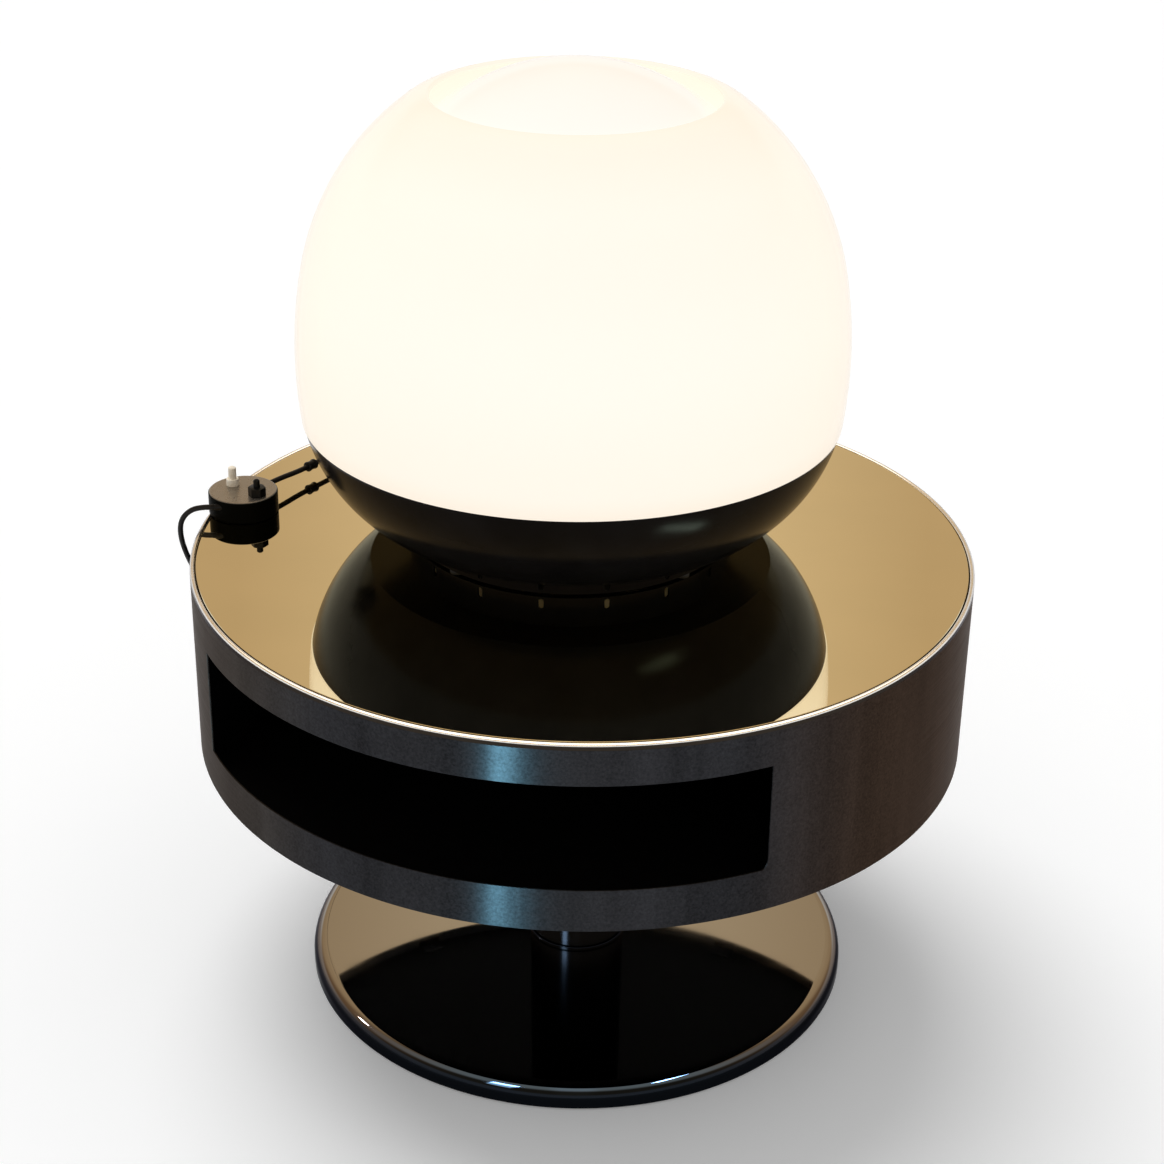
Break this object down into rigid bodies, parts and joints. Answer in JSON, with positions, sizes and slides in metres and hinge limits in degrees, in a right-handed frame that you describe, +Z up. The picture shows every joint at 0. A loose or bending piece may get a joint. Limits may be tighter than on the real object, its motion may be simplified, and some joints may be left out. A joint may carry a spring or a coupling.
{
  "type": "table lamp on drum table",
  "caption": "Opal double-globe table lamp with black bowl and cord switch, standing on a round mirror-topped drum table with an open niche, column and disc base.",
  "frame": {"origin": "on the floor, on the common axis of base disc, column and drum", "axes": "+Z up; the niche opens to the front at -Y, the cord switch lies to the left at -X"},
  "size_m": [0.7231, 0.7899, 0.859],
  "materials": {
    "chrome": "mirror-bright plated",
    "steel": "brushed stainless, fine upright grain",
    "plain_steel": "plain zinc-plated",
    "iron": "rough cast",
    "pad": "matt",
    "black_board": "board with matt black facing",
    "mirror": "silvered float glass",
    "black_lacquer": "deep gloss black",
    "white_paint": "white",
    "opal": "opal, satin outside, lit from inside",
    "opal_bright": "opal, lit from inside",
    "bulb_glass": "frosted",
    "brass": "plain",
    "ceramic": "glazed",
    "black_plastic": "satin black",
    "cream_plastic": "aged cream",
    "grey_plastic": "plain",
    "cord": "black flexible sheath"
  },
  "bodies": {
    "lamp_and_table": {"band_angle_screws": "black_lacquer", "band_angles": "black_lacquer", "base_cover": "chrome", "base_pad": "pad", "base_weight": "iron", "black_button_collar": "black_plastic", "black_button_spring": "plain_steel", "bowl": "black_lacquer", "centre_bulb": "bulb_glass", "centre_bulb_cap": "brass", "centre_lampholder": "ceramic", "chassis_plate": "white_paint", "column": "chrome", "column_collar": "chrome", "column_end_plates": "plain_steel", "cord_link": "cord", "cord_to_lamp": "cord", "drum_band": "steel", "drum_floor": "black_board", "gallery": "white_paint", "gallery_post": "white_paint", "gallery_screws": "brass", "glass_seat": "pad", "inlet_gland": "black_plastic", "inline_connector": "black_plastic", "inner_globe": "opal_bright", "lamp_pads": "pad", "lamp_wiring": "grey_plastic", "mains_cord": "cord", "mains_cord_coil": "cord", "mains_plug": "black_plastic", "neck_ring": "black_lacquer", "neck_screws": "plain_steel", "niche_back": "black_board", "niche_left_side": "black_board", "niche_right_side": "black_board", "plug_pins": "brass", "side_bulb_caps": "brass", "side_bulbs": "bulb_glass", "side_lampholders": "ceramic", "switch_case": "black_plastic", "switch_cells": "grey_plastic", "switch_cover": "black_plastic", "switch_cover_screws": "plain_steel", "switch_pads": "pad", "switch_sleeves": "black_plastic", "switch_terminals": "grey_plastic", "terminal_block": "ceramic", "tie_rod": "plain_steel", "tie_rod_nuts": "plain_steel", "tie_rod_washer": "plain_steel", "top_board": "black_board", "top_mirror": "mirror", "trim_ring": "chrome", "white_button_collar": "cream_plastic", "white_button_spring": "plain_steel"},
    "outer_glass": {"outer_glass": "opal"},
    "white_button": {"white_button": "cream_plastic"},
    "black_button": {"black_button": "black_plastic"}
  },
  "joints": [
    {"name": "outer_glass_lift", "type": "slide", "parent": "lamp_and_table", "child": "outer_glass", "axis": [0, 0, 1], "range_m": [0, 0.34]},
    {"name": "white_button_press", "type": "slide", "parent": "lamp_and_table", "child": "white_button", "axis": [0, 0, -1], "range_m": [0, 0.003], "stiffness_N_per_m": 400, "springref_m": -0.002, "deforming": ["white_button_spring"]},
    {"name": "black_button_press", "type": "slide", "parent": "lamp_and_table", "child": "black_button", "axis": [0, 0, -1], "range_m": [0, 0.003], "stiffness_N_per_m": 400, "springref_m": -0.002, "deforming": ["black_button_spring"]}
  ]
}
